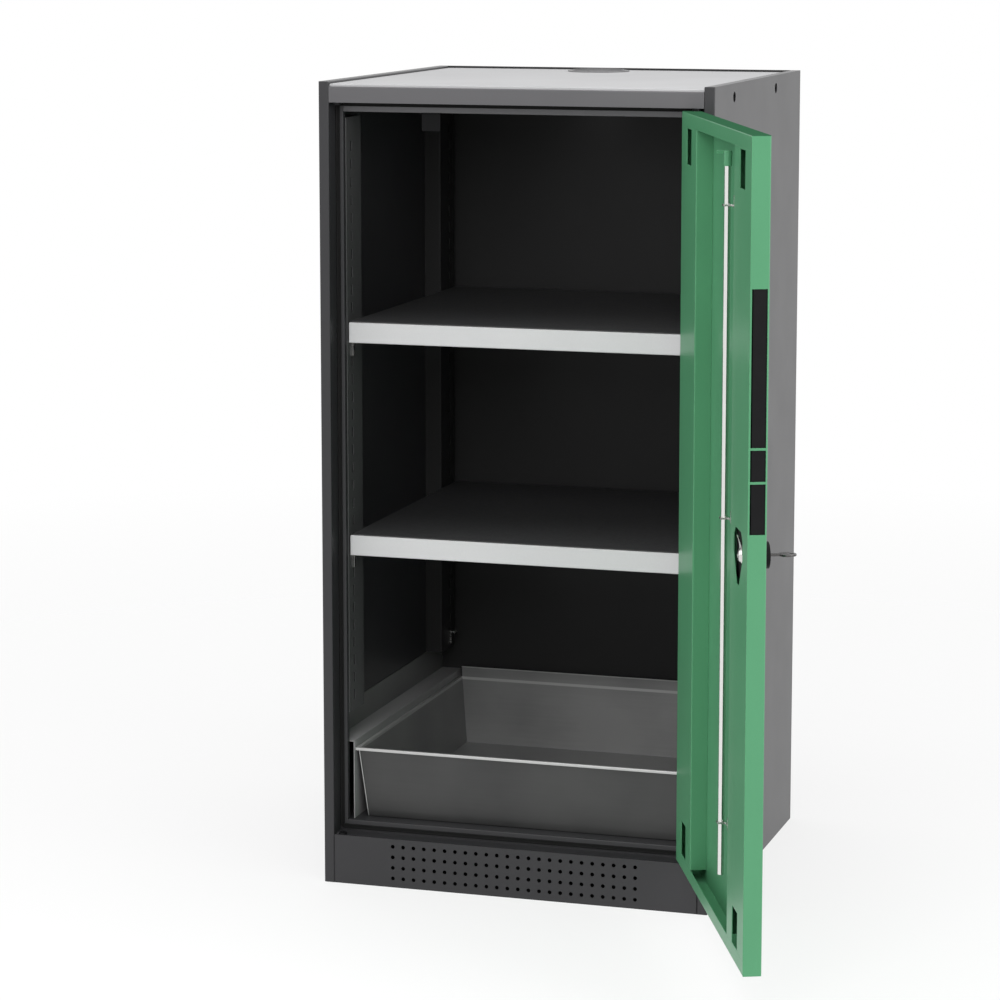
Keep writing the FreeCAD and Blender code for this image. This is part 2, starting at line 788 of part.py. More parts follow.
def hinge_bushes(label, places):
    """Flanged bushes, each at a place across the cabinet, at the head or at the foot of the door."""
    body = new_body(label)
    for across, at_head in places:
        if at_head:
            start, flange = "header_bottom - head_flange", "head_flange"
            flange_start = start
        else:
            start, flange = "plinth_height - bush_length", "foot_flange"
            flange_start = "plinth_height"
        place = (across, "pivot_y")
        bore = "pin_radius + running_gap"
        add_disc(body, "XY", start, f"bush_length + {flange}", place, "bush_radius", bore)
        add_polygon(body, "XY", flange_start, flange, place, "bush_radius + bush_flange", SIZES["bush_sides"], bore)


def rod_keeper():
    """The plate below the header's stop that the locking rod's hook turns behind."""
    body = new_body("rod_keeper")
    right = "(pivot_x + rod_x - keeper_side)"
    back = "(pivot_y + rod_y + hook_arm - keeper_gap)"
    add_box(body, "XZ", f"{back} - sheet", "sheet",
            (f"{right} - keeper_width", "stop_bottom - keeper_drop"), (right, "stop_bottom"))
    add_box(body, "XZ", "stop_face", "stop_hem",
            (f"{right} - keeper_width", "stop_bottom - sheet"), (right, "stop_bottom"))


# Door, drawn closed about its pivot: X runs from the hinge to the right, Y into the cabinet

def door_panel():
    """The folded door pan: skin, four edges, upper and lower lips, grip opening and windows."""
    body = new_door_body("door_panel")
    add_outline(body, "XY", "door_bottom", "door_top - door_bottom", [
        ("pivot_margin", "door_back"),
        ("pivot_margin", "door_front"),
        ("free_edge", "door_front"),
        ("free_edge", "door_back"),
        ("free_edge + sheet", "door_back"),
        ("free_edge + sheet", "door_front + sheet"),
        ("pivot_margin - sheet", "door_front + sheet"),
        ("pivot_margin - sheet", "door_back"),
    ])
    for level in ("door_bottom", "door_top - sheet"):
        add_box(body, "XY", level, "sheet", ("free_edge", "door_front"), ("pivot_margin", "door_back"))
    for level in ("door_bottom", "door_top - door_lip"):
        add_box(body, "XZ", "door_back - sheet", "sheet",
                ("free_edge", level), ("pivot_margin", f"{level} + door_lip"))
    for level in ("door_bottom", "door_top - sheet"):
        cut_disc(body, "XY", f"{level} - overrun", "sheet + overrun * 2",
                 ("0", "0"), "pin_radius + running_gap")
    left = "free_edge + grip_edge"
    cut_box(body, "XZ", "door_front - overrun", "sheet + overrun * 2",
            (left, "grip_bottom"), (f"{left} + grip_width", "grip_bottom + grip_height"))
    for low, high in (("0", "grip_lower_bridge"),
                      ("grip_lower_bridge + grip_bridge", "grip_upper_bridge"),
                      ("grip_upper_bridge + grip_bridge", "grip_height")):
        cut_box(body, "YZ", "free_edge - overrun", "sheet + overrun * 2",
                ("door_middle - grip_window / 2", f"grip_bottom + {low}"),
                ("door_middle + grip_window / 2", f"grip_bottom + {high}"))
    cut_disc(body, "XZ", "door_front - overrun", "sheet + overrun * 2",
             ("lock_x", "lock_height"), "barrel_radius + running_gap")
    round_edges(body, at_front_corner, "bend_radius")


def door_stile(label, side):
    """The folded channel inside one long edge of the door, with its two access windows."""
    body = new_door_body(label)
    if side == 1:
        outer, inner, step = "pivot_margin - sheet", "pivot_margin - stile_width", "sheet"
        middle = "(pivot_margin - centre_line)"
    else:
        outer, inner, step = "free_edge + sheet", "flank_face", "-sheet"
        middle = "(free_edge + centre_line)"
    add_outline(body, "XY", "door_bottom + door_lip", "door_top - door_bottom - door_lip * 2", [
        (outer, "door_back"),
        (inner, "door_back"),
        (inner, "door_front + sheet"),
        (f"{inner} + {step}", "door_front + sheet"),
        (f"{inner} + {step}", "door_back - sheet"),
        (outer, "door_back - sheet"),
    ])
    for low in ("(door_bottom + window_lift)", "(door_top - window_lift - window_height)"):
        cut_box(body, "XZ", "door_back - sheet - overrun", "sheet + overrun * 2",
                (f"{middle} - window_width / 2", low), (f"{middle} + window_width / 2", f"{low} + window_height"))
    if side == -1:
        sketch = new_sketch(body, "XZ", "door_back - sheet - overrun")
        draw_outline(sketch, [
            ("cutout_x - cutout_foot / 2", "lock_height - cutout_drop"),
            ("cutout_x + cutout_foot / 2", "lock_height - cutout_drop"),
            ("cutout_x + cutout_width / 2", "lock_height - cutout_drop + cutout_taper"),
            ("cutout_x + cutout_width / 2", "lock_height + cutout_rise - cutout_bevel"),
            ("cutout_x + cutout_width / 2 - cutout_bevel", "lock_height + cutout_rise"),
            ("cutout_x - cutout_width / 2 + cutout_bevel", "lock_height + cutout_rise"),
            ("cutout_x - cutout_width / 2", "lock_height + cutout_rise - cutout_bevel"),
            ("cutout_x - cutout_width / 2", "lock_height - cutout_drop + cutout_taper"),
        ])
        extrude(body, "Pocket", sketch, "sheet + overrun * 2", "XZ")


def grip_shell():
    """The moulded trough behind the grip opening, seen through the windows in the door's free edge."""
    body = new_door_body("grip_shell")
    right = "free_edge + grip_edge + grip_width"
    add_box(body, "XZ", "door_front + sheet", "grip_depth",
            ("free_edge + sheet", "grip_bottom - grip_wall"),
            (f"{right} + grip_wall", "grip_bottom + grip_height + grip_wall"))
    cut_box(body, "XZ", "door_front + sheet - overrun", "grip_depth - grip_wall + overrun",
            ("free_edge + grip_edge", "grip_bottom"), (right, "grip_bottom + grip_height"))


def hinge_pin(label, at_head):
    """A pivot pin in the door, with the collar that holds it under or over the door's end."""
    body = new_door_body(label)
    centre = ("0", "0")
    if at_head:
        start = "header_bottom + pin_reach - pin_length"
        collar = "door_top - sheet - pin_collar_height"
    else:
        start = "plinth_height - pin_reach"
        collar = "door_bottom + sheet"
    add_disc(body, "XY", start, "pin_length", centre, "pin_radius")
    sketch = new_sketch(body, "XY", collar)
    draw_polygon(sketch, centre, "pin_collar_radius", SIZES["nut_sides"])
    extrude(body, "Pad", sketch, "pin_collar_height", "XY")


def lock_rose():
    """The round rose outside the door."""
    body = new_door_body("lock_rose")
    add_polygon(body, "XZ", "rose_face", "rose_height", ("lock_x", "lock_height"), "rose_radius",
                SIZES["rose_sides"], "barrel_radius + running_gap")


def lock_barrel():
    """The fixed barrel that the plug turns in."""
    body = new_door_body("lock_barrel")
    add_disc(body, "XZ", "rose_face + barrel_setback", "barrel_length", ("lock_x", "lock_height"),
             "barrel_radius", "plug_radius + running_gap")


def lock_nut():
    """The thin hexagon nut that clamps the barrel against the inside of the skin."""
    body = new_door_body("lock_nut")
    add_polygon(body, "XZ", "door_front + sheet", "nut_height", ("lock_x", "lock_height"),
                "nut_radius", SIZES["nut_sides"], "barrel_radius + running_gap")


def lock_case():
    """The moulded case round the barrel, seen through the cut-out in the stile."""
    body = new_door_body("lock_case")
    sketch = new_sketch(body, "XZ", "cam_level - fit_gap - case_depth")
    draw_box(sketch,
             ("cutout_x - case_width / 2", "lock_height - case_height / 2"),
             ("cutout_x + case_width / 2", "lock_height + case_height / 2"))
    draw_circle(sketch, ("lock_x", "lock_height"), "barrel_radius + running_gap")
    extrude(body, "Pad", sketch, "case_depth", "XZ")


def lock_plug():
    """The turning plug with its keyway."""
    body = new_door_body("lock_plug")
    add_disc(body, "XZ", "rose_face", "cam_level - rose_face", ("lock_x", "lock_height"), "plug_radius")
    cut_box(body, "XZ", "rose_face - overrun", "key_insert + key_play + overrun",
            ("lock_x - key_blade / 2 - key_play", "lock_height - key_sheet / 2 - key_play"),
            ("lock_x + key_blade / 2 + key_play", "lock_height + key_sheet / 2 + key_play"))


def lock_cam():
    """The cam on the inner end of the plug."""
    body = new_door_body("lock_cam")
    add_disc(body, "XZ", "cam_level", "cam_sheet", ("lock_x", "lock_height"), "cam_radius")
    add_outline(body, "XZ", "cam_level", "cam_sheet", [
        ("lock_x - cam_radius", "lock_height"),
        ("lock_x + cam_radius", "lock_height"),
        ("lock_x + cam_tip_radius", "lock_height + cam_reach"),
        ("lock_x - cam_tip_radius", "lock_height + cam_reach"),
    ])
    add_disc(body, "XZ", "cam_level", "cam_sheet", ("lock_x", "lock_height + cam_reach"), "cam_tip_radius")


def cam_screw():
    """The flat screw that holds the cam on the plug."""
    body = new_door_body("cam_screw")
    sketch = new_sketch(body, "XZ", "cam_level + cam_sheet")
    draw_polygon(sketch, ("lock_x", "lock_height"), "cam_screw_radius", SIZES["key_sides"])
    extrude(body, "Pad", sketch, "cam_screw_height", "XZ")


def key():
    """The flat key: blade, shank and round bow."""
    body = new_door_body("key")
    level = "lock_height - key_sheet / 2"
    bow = "rose_face - key_shank - key_bow / 2"
    add_box(body, "XY", level, "key_sheet",
            ("lock_x - key_blade / 2", bow), ("lock_x + key_blade / 2", "rose_face + key_insert"))
    sketch = new_sketch(body, "XY", level)
    draw_polygon(sketch, ("lock_x", bow), "key_bow / 2", SIZES["key_sides"])
    extrude(body, "Pad", sketch, "key_sheet", "XY")
    cut_disc(body, "XY", f"{level} - overrun", "key_sheet + overrun * 2",
             ("lock_x", f"{bow} - key_hole"), "key_hole / 2")


def locking_rod():
    """The polished locking rod."""
    body = new_door_body("locking_rod")
    add_disc(body, "XY", "rod_bottom", "rod_top - rod_bottom", ("rod_x", "rod_y"), "rod_radius")


def rod_hook():
    """The hook on the head of the rod, which points away from the keeper while the door is unlocked."""
    body = new_door_body("rod_hook")
    add_disc(body, "XY", "rod_top", "hook_length", ("rod_x", "rod_y"), "hook_radius")
    add_outline(body, "XY", "hook_top - hook_height", "hook_height", [
        ("rod_x", "rod_y - hook_finger / 2"),
        ("rod_x + hook_arm + hook_finger", "rod_y - hook_finger / 2"),
        ("rod_x + hook_arm + hook_finger", "rod_y + hook_reach"),
        ("rod_x + hook_arm", "rod_y + hook_reach"),
        ("rod_x + hook_arm", "rod_y + hook_finger / 2"),
        ("rod_x", "rod_y + hook_finger / 2"),
    ])


def rod_brackets():
    """The brackets on the lock-side stile, each with an eye that the rod turns in."""
    body = new_door_body("rod_brackets")
    sketch = new_sketch(body, "XY", "bracket_first")
    draw_outline(sketch, [
        ("flank_face", "rod_y - bracket_edge"),
        ("rod_x + bracket_edge", "rod_y - bracket_edge"),
        ("rod_x + bracket_edge", "rod_y + bracket_edge"),
        ("rod_x - bracket_edge", "rod_y + bracket_edge"),
        ("rod_x - bracket_edge", "door_back - bracket_sheet"),
        ("flank_face", "door_back - bracket_sheet"),
    ])
    draw_circle(sketch, ("rod_x", "rod_y"), "rod_radius + running_gap")
    plate = extrude(body, "Pad", sketch, "bracket_sheet", "XY")
    tab = add_box(body, "XY", "bracket_first", "bracket_tab",
                  ("flank_face", "rod_y - bracket_edge"), ("flank_face + bracket_sheet", "door_back"))
    pattern = repeat(body, plate, "Z", "bracket_pitch", "bracket_count")
    pattern.Originals = [plate, tab]


def build():
    """Builds every sub-part."""
    side_panel("left_side_panel", -1)
    side_panel("right_side_panel", 1)
    rear_panel()
    top_panel()
    exhaust_collar()
    header_rail()
    floor_panel()
    plinth_panel()
    rear_base_rail()
    base_stringer()
    floor_bearer("left_floor_bearer", -1)
    floor_bearer("right_floor_bearer", 1)
    for name, side in (("left", -1), ("right", 1)):
        upright(f"front_{name}_upright", side, "front_upright", "front_slot")
        upright(f"rear_{name}_upright", side, "rear_upright", "rear_slot")
        tray_support(f"{name}_tray_support", side)
        splash_strip(f"{name}_splash_strip", side)
    for name in ("upper", "lower"):
        shelf(f"{name}_shelf", f"{name}_shelf_step")
        shelf_mat(f"{name}_shelf_mat", f"{name}_shelf_step")
    corners = [(side, slot) for side in (-1, 1) for slot in ("front_slot", "rear_slot")]
    shelf_clips("upper_shelf_clips", "upper_shelf_step", corners)
    shelf_clips("lower_shelf_clips", "lower_shelf_step", corners)
    shelf_clips("spare_shelf_clip", "spare_clip_step", [(-1, "rear_slot")])
    sump_tray()
    door_seal()
    hinge_bushes("upper_hinge_bush", [("pivot_x", True)])
    hinge_bushes("lower_hinge_bush", [("pivot_x", False)])
    hinge_bushes("spare_hinge_bushes", [("-pivot_x", True), ("-pivot_x", False)])
    rod_keeper()
    door_panel()
    door_stile("hinge_side_stile", 1)
    door_stile("lock_side_stile", -1)
    grip_shell()
    hinge_pin("upper_hinge_pin", True)
    hinge_pin("lower_hinge_pin", False)
    lock_rose()
    lock_barrel()
    lock_nut()
    lock_case()
    lock_plug()
    lock_cam()
    cam_screw()
    key()
    locking_rod()
    rod_hook()
    rod_brackets()
    document.recompute()


def check():
    """Stops when any object failed to build or any sub-part is not a valid solid."""
    for item in document.Objects:
        if "Invalid" in item.State or "Error" in item.State:
            raise RuntimeError(f"{item.Label} did not build: {item.State}")
    for body in SUBPARTS:
        if body.Shape.isNull() or not body.Shape.isValid() or not body.Shape.Solids:
            raise RuntimeError(f"{body.Label} is not a valid solid")


def export():
    """Writes each sub-part to its own file."""
    os.makedirs("parts", exist_ok=True)
    for body in SUBPARTS:
        body.Shape.exportStep(f"parts/{body.Label}.step")
        volume = round(body.Shape.Volume / 1000, 2)
        print(body.Label, len(body.Shape.Solids), "solids", volume, "cm3")


build()
check()
export()
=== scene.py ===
import json
import math

import bmesh
import bpy
from mathutils import Matrix, Vector


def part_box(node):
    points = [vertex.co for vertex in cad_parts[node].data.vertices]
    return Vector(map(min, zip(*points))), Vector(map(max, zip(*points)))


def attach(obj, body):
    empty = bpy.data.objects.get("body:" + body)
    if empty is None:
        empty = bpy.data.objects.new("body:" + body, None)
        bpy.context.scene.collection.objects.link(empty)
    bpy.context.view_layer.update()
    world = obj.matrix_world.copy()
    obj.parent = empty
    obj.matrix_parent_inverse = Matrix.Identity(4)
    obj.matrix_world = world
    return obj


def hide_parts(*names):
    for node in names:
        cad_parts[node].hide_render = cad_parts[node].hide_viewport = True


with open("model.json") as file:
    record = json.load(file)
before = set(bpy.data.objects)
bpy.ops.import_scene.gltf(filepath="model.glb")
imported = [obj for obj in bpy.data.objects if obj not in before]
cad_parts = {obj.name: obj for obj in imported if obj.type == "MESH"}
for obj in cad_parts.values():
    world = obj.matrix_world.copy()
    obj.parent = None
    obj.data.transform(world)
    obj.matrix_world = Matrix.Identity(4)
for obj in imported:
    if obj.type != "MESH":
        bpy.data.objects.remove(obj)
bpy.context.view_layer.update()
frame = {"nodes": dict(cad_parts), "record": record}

# The looks of a chemical storage cabinet: folded sheet with rounded bends, powder coat, a
# sump tray with a painted highlight along its rims, black mouldings and plated lock parts.
# Lengths are in metres and the front faces -Y.

MM = 0.001

# Bends and edges of the sheet metal
BEND_OUTSIDE = 1.6 * MM
INNER_BEND_SHARE = 0.25
EDGE_SHARE = 0.14
BEND_SEGMENTS = 3
BEND_LENGTH = 25 * MM
BEND_FLANGE = 3.0 * MM
SHARP_ANGLE = math.radians(30)
SQUARE_ANGLE = math.radians(75)
WELD = 0.005 * MM

# Plinth
SHEET = 1.2 * MM
VENT_RADIUS = 2.75 * MM
VENT_PITCH = 15.0 * MM
VENT_COLUMNS = 24
VENT_ROWS = 4
VENT_SIDES = 16
VENT_LIFT = 12.8 * MM
VENT_EDGE = 1.5 * MM
BUSH_PLACE = 247.0 * MM
BUSH_LINE = -254.5 * MM
BUSH_HOLE = 4.25 * MM
BUSH_SIDES = 32
UPRIGHT = (math.pi / 2, 0, 0)

# Door seal
SEAL_HALF = 3.0 * MM
SEAL_LIP = 1.8 * MM
SEAL_CORNER = 3.2 * MM
CORNER_STEPS = 4
FORWARD = (0, -1, 0)
SEAL_SECTION = (  # shares of the lip's rise and of the half width
    (0, -1), (0.55, -1), (1.0, -0.72), (0.6, -0.42), (0.55, -0.14), (0.78, 0),
    (0.55, 0.14), (0.6, 0.42), (1.0, 0.72), (0.55, 1), (0, 1))

# Sump tray
TRAY_RIM = 184.0 * MM
TRAY_HEM = 180.0 * MM
TRAY_TOP = 200.0 * MM
TRAY_TAPER = 10.0 * MM
TRAY_LIP = 4.0 * MM
BEAD_RADIUS = 0.9 * MM
BEAD_SIDES = 8

# Door, drawn closed about its pivot and turned to where it hangs ajar
PIVOT = Vector((247.0, -254.5, 0.0)) * MM
DOOR_ANGLE = math.radians(113.2)
LOCK_X = -443.5 * MM
LOCK_HEIGHT = 572.0 * MM
CAM_LEVEL = 13.3 * MM
CAM_SHEET = 1.6
CAM_SHARP = math.radians(50)
CAM_LEAF = (  # rise, half width and lift, in millimetres
    (2, 9.5, 0), (8, 8.8, 0), (13, 6.6, 0.6), (17, 5.0, 1.8), (20.5, 4.2, 3.0), (23.5, 3.0, 4.2),
    (25, 1.2, 4.8))
CAM_HUB = (  # lift and radius, in millimetres
    (0.0, 10.0), (1.0, 10.0), (1.9, 9.4), (2.3, 8.2), (3.6, 7.6), (4.6, 6.0), (5.1, 3.4),
    (5.2, 0.0))
HUB_SIDES = 32

# Grain of the surfaces: noises in cells a metre, bumps as a depth and a strength, and how far
# colours and roughness swing about their given values
MIXED_RANGE = (0.35, 0.65)
CLOUD_CELLS = 5.0
CLOUD_SHARE = 0.7
SPECK_CELLS = 900.0
GLOSS_CELLS = 12.0
COAT_SWING = (0.96, 1.05)
PEEL_CELLS = 650.0
PEEL_BUMP = (0.02 * MM, 0.12)
# Painted shade along the door's top edge: the share of its colour above the crown, and the fade
# below the crown
CROWN_PAINTED_SHADE = 0.42
CROWN_FADE = (1.0 * MM, 0.4 * MM)
ROLLING_CELLS = 260.0
ROLLING_STRETCH = (0.05, 1, 1)
ROLLING_SHARE = 0.12
ROLLING_BUMP = (0.008 * MM, 0.05)
ZINC_CLOUD_CELLS = 6.0
ZINC_ROUGHNESS = (0.34, 0.42)
ZINC_METALLIC = 0.5
# Fade of the painted highlight on the tray's rims
RIM_FADE = 0.6 * MM
# Fade of the painted light across the tray's wall
TRAY_WALL_FADE = (0.4 * SHEET, 0.8 * SHEET)
PLASTIC_CLOUD_CELLS = 60.0
PLASTIC_GLOSS_CELLS = 300.0
PLASTIC_LIFT = 1.25
PLASTIC_SWING = (0.92, 1.06)
GRAIN_BUMP = (0.03 * MM, 0.25)
PLATING_CELLS = 120.0
PLATING_SHADE = 0.9
PLATING_BUMP = (0.008 * MM, 0.15)

BODY_OF = {node: body for body, nodes in frame["record"]["behaviour"]["bodies"].items()
           for node in nodes}
SLOT_OF = {part["node"]: part["material_slot"] for part in frame["record"]["subparts"]}


# Node trees

def add_node(tree, kind, settings=None, inputs=None):
    """Adds a node, sets its properties, and sets or links its inputs."""
    made = tree.nodes.new(kind)
    for name, value in (settings or {}).items():
        setattr(made, name, value)
    for name, value in (inputs or {}).items():
        if isinstance(value, bpy.types.NodeSocket):
            tree.links.new(value, made.inputs[name])
        else:
            made.inputs[name].default_value = value
    return made


def start_material(name):
    """Starts a material and gives its tree, its shader and the piece's own coordinates."""
    material = bpy.data.materials.new(name)
    material.use_nodes = True
    tree = material.node_tree
    tree.nodes.clear()
    shader = add_node(tree, "ShaderNodeBsdfPrincipled")
    output = add_node(tree, "ShaderNodeOutputMaterial")
    tree.links.new(shader.outputs["BSDF"], output.inputs["Surface"])
    place = add_node(tree, "ShaderNodeTexCoord").outputs["Object"]
    return material, tree, shader, place


def noise(tree, place, scale, detail=2.0, stretch=(1, 1, 1)):
    """Gives a noise whose scale is its cells in a metre, stretched along the axes."""
    mapping = add_node(tree, "ShaderNodeMapping", inputs={"Vector": place, "Scale": stretch})
    made = add_node(tree, "ShaderNodeTexNoise", inputs={
        "Vector": mapping.outputs["Vector"], "Scale": scale, "Detail": detail})
    return made.outputs["Fac"]


def spread(tree, value, low, high, start=0.25, end=0.75):
    """Maps a value between a start and an end to a range from low to high."""
    made = add_node(tree, "ShaderNodeMapRange", inputs={
        "Value": value, "From Min": start, "From Max": end, "To Min": low, "To Max": high})
    return made.outputs["Result"]


def calculate(tree, operation, first, second):
    """Gives the outcome of one operation on two values."""
    made = add_node(tree, "ShaderNodeMath", {"operation": operation}, {0: first, 1: second})
    return made.outputs["Value"]


def dimmed(colour, share):
    """Gives a colour with its channels multiplied."""
    return tuple(channel * share for channel in colour)


def shaded(tree, factor, dark, light):
    """Mixes two colours, each given as numbers or as a socket."""
    made = add_node(tree, "ShaderNodeMix", {"data_type": "RGBA"}, {0: factor})
    for index, colour in ((6, dark), (7, light)):
        if isinstance(colour, bpy.types.NodeSocket):
            tree.links.new(colour, made.inputs[index])
        else:
            made.inputs[index].default_value = (*colour, 1)
    return made.outputs[2]


def raise_surface(tree, shader, height, depth, strength):
    """Gives the shader a bump."""
    bump = add_node(tree, "ShaderNodeBump", inputs={
        "Height": height, "Distance": depth, "Strength": strength})
    tree.links.new(bump.outputs["Normal"], shader.inputs["Normal"])


def feed(tree, shader, **sockets):
    """Links values to the shader's inputs, whose names are given with underscores for spaces."""
    for name, value in sockets.items():
        tree.links.new(value, shader.inputs[name.replace("_", " ")])


def blend(tree, first, second, share):
    """Adds two noises, the first with a share and the second with the rest."""
    return calculate(tree, "ADD", calculate(tree, "MULTIPLY", first, share),
                     calculate(tree, "MULTIPLY", second, 1.0 - share))


def powder_coat(name, colour, roughness, gloss, crown=None):
    """Powder coat with faint orange peel and clouds; above a crown's height, painted shade makes
    it darker and takes its gloss away.
    """
    material, tree, shader, place = start_material(name)
    mottle = blend(tree, noise(tree, place, CLOUD_CELLS, 3.0),
                   noise(tree, place, SPECK_CELLS, 1.0), CLOUD_SHARE)
    coat = shaded(tree, spread(tree, mottle, 0, 1, *MIXED_RANGE),
                  *(dimmed(colour, swing) for swing in COAT_SWING))
    shader.inputs["Specular IOR Level"].default_value = gloss
    # Painted shade: above the crown the coat is darkened and its gloss taken away.
    if crown:
        height = add_node(tree, "ShaderNodeSeparateXYZ", inputs={"Vector": place}).outputs["Z"]
        above = spread(tree, height, 0, 1, *(crown - fade for fade in CROWN_FADE))
        coat = shaded(tree, above, coat, dimmed(colour, CROWN_PAINTED_SHADE))
        feed(tree, shader, Specular_IOR_Level=spread(tree, above, gloss, 0.0, 0.0, 1.0))
    feed(tree, shader, Base_Color=coat,
         Roughness=spread(tree, noise(tree, place, GLOSS_CELLS),
                          *(roughness * swing for swing in COAT_SWING)))
    raise_surface(tree, shader, noise(tree, place, PEEL_CELLS, 2.0), *PEEL_BUMP)
    return material


def tray_painted_light_mask(tree, place, low, high):
    """Tells the inside of the tapered tray from its outside, for the painted light on the inside.
    """
    apart = add_node(tree, "ShaderNodeSeparateXYZ", inputs={"Vector": place}).outputs
    drawn_in = spread(tree, apart["Z"], TRAY_TAPER, 0, low[2], TRAY_HEM)
    behind_front = calculate(tree, "SUBTRACT", apart["Y"], low[1] + TRAY_LIP)
    within_side = calculate(tree, "SUBTRACT", high[0] - TRAY_LIP,
                            calculate(tree, "ABSOLUTE", apart["X"], 0.0))
    nearest = calculate(tree, "MINIMUM",
                        calculate(tree, "SUBTRACT", behind_front, drawn_in),
                        calculate(tree, "SUBTRACT", within_side, drawn_in))
    return spread(tree, nearest, 0, 1, *TRAY_WALL_FADE)


def rolled_zinc(name, dark, light, rim_highlight=None, inside=None):
    """Zinc-coated sheet with faint rolling marks; a tray gets painted light on its inside and a
    painted highlight on its rims.
    """
    material, tree, shader, place = start_material(name)
    marks = noise(tree, place, ROLLING_CELLS, 3.0, ROLLING_STRETCH)
    mixed = blend(tree, marks, noise(tree, place, ZINC_CLOUD_CELLS, 3.0), ROLLING_SHARE)
    colour = shaded(tree, spread(tree, mixed, 0, 1, *MIXED_RANGE), dark, light)
    # Painted light: the tray's inside is mixed to a lifted copy of its colour.
    if inside:
        box, lift = inside
        painted_light_colour = add_node(tree, "ShaderNodeVectorMath", {"operation": "SCALE"},
                          {0: colour, "Scale": lift}).outputs[0]
        colour = shaded(tree, tray_painted_light_mask(tree, place, *box), colour, painted_light_colour)
    # Painted highlight: the hem band and the top edge are mixed to a bright zinc, for the light
    # the rolled rims catch.
    if rim_highlight:
        hem_low, hem_high, top, bright = rim_highlight
        height = add_node(tree, "ShaderNodeSeparateXYZ", inputs={"Vector": place}).outputs["Z"]
        hem = calculate(tree, "MULTIPLY",
                        spread(tree, height, 0, 1, hem_low, hem_low + RIM_FADE),
                        spread(tree, height, 1, 0, hem_high, hem_high + RIM_FADE))
        edge = spread(tree, height, 0, 1, top - BEND_OUTSIDE, top - BEND_OUTSIDE + RIM_FADE)
        colour = shaded(tree, calculate(tree, "MAXIMUM", hem, edge), colour, bright)
    feed(tree, shader, Base_Color=colour,
         Roughness=spread(tree, mixed, *ZINC_ROUGHNESS, *MIXED_RANGE))
    shader.inputs["Metallic"].default_value = ZINC_METALLIC
    raise_surface(tree, shader, marks, *ROLLING_BUMP)
    return material


def moulded_plastic(name, colour, roughness, grain, gloss):
    """Moulded plastic or rubber with a fine grain."""
    material, tree, shader, place = start_material(name)
    shader.inputs["Specular IOR Level"].default_value = gloss
    shade = spread(tree, noise(tree, place, PLASTIC_CLOUD_CELLS), 0, 1)
    feed(tree, shader,
         Base_Color=shaded(tree, shade, colour, dimmed(colour, PLASTIC_LIFT)),
         Roughness=spread(tree, noise(tree, place, PLASTIC_GLOSS_CELLS),
                          *(roughness * swing for swing in PLASTIC_SWING)))
    raise_surface(tree, shader, noise(tree, place, grain, 2.0), *GRAIN_BUMP)
    return material


def bright_metal(name, colour, low, high, stretch):
    """Plated or drawn metal whose fine marks are stretched along an axis."""
    material, tree, shader, place = start_material(name)
    marks = noise(tree, place, SPECK_CELLS, 3.0, stretch)
    feed(tree, shader,
         Base_Color=shaded(tree, spread(tree, marks, 0, 1),
                           dimmed(colour, PLATING_SHADE), colour),
         Roughness=spread(tree, noise(tree, place, PLATING_CELLS, 3.0), low, high))
    shader.inputs["Metallic"].default_value = 1.0
    raise_surface(tree, shader, marks, *PLATING_BUMP)
    return material


ANTHRACITE = (0.034, 0.0334, 0.0358)
# The inside's anthracite is a darker, duller copy of the same paint: painted shade for the shaded
# inside.
INNER_PAINTED_SHADE_ANTHRACITE = (0.029, 0.0285, 0.029)
# The tray supports' grey is their own grey raised far lighter: painted light that makes up for the
# dim inside.
LEDGE_PAINTED_LIGHT_GREY = (0.32, 0.316, 0.32)
# The header's grey is lighter than the anthracite it is painted in: a painted highlight for the
# light its face catches.
HEADER_PAINTED_HIGHLIGHT_GREY = (0.105, 0.1025, 0.108)
GREEN = (0.078, 0.268, 0.134)
LIGHT_GREY = (0.58, 0.58, 0.585)
# The top's pale grey is a painted reflection: it stands in for the white that the top mirrors at a
# grazing view.
TOP_PAINTED_REFLECTION_GREY = (0.45, 0.45, 0.457)
COLLAR_GREY = (0.2, 0.2, 0.203)
BLACK = (0.006, 0.006, 0.0065)
# The uprights' grey is lighter than the anthracite: painted light for the light along their edges.
UPRIGHT_PAINTED_LIGHT_GREY = (0.075, 0.074, 0.076)

FINISHES = {
    "anthracite_paint": powder_coat("anthracite_powder_coat", ANTHRACITE, 0.34, 0.32),
    "green_paint": powder_coat("green_powder_coat", GREEN, 0.36, 0.3),
    "light_grey_paint": powder_coat("light_grey_powder_coat", LIGHT_GREY, 0.4, 0.4),
    "galvanised_sheet": rolled_zinc("zinc_strip", (0.2, 0.2, 0.2), (0.27, 0.27, 0.268)),
    "black_plastic": moulded_plastic("black_moulding", BLACK, 0.46, 1500.0, 0.1),
    "seal_rubber": moulded_plastic("seal_profile_rubber", (0.008, 0.008, 0.008), 0.6, 700.0, 0.12),
    "zinc_plate": bright_metal("bright_zinc", (0.62, 0.62, 0.6), 0.2, 0.34, (1, 1, 0.2)),
    "nickel_plate": bright_metal("polished_nickel", (0.7, 0.69, 0.67), 0.08, 0.16, (1, 1, 1)),
    "polished_steel": bright_metal("drawn_steel", (0.8, 0.8, 0.78), 0.14, 0.2, (1, 1, 0.04)),
}
# Painted shade: the rear panel and rear uprights get a darker, duller copy of the anthracite.
INNER_PAINTED_SHADE_COAT = powder_coat("inner_painted_shade_coat", INNER_PAINTED_SHADE_ANTHRACITE, 0.4, 0.15)
COLLAR_COAT = powder_coat("collar_grey_coat", COLLAR_GREY, 0.5, 0.2)
# Painted reflection: the top panel gets a pale, dull grey in place of its sheen.
TOP_PAINTED_REFLECTION_COAT = powder_coat("top_painted_reflection_coat", TOP_PAINTED_REFLECTION_GREY, 0.55, 0.1)
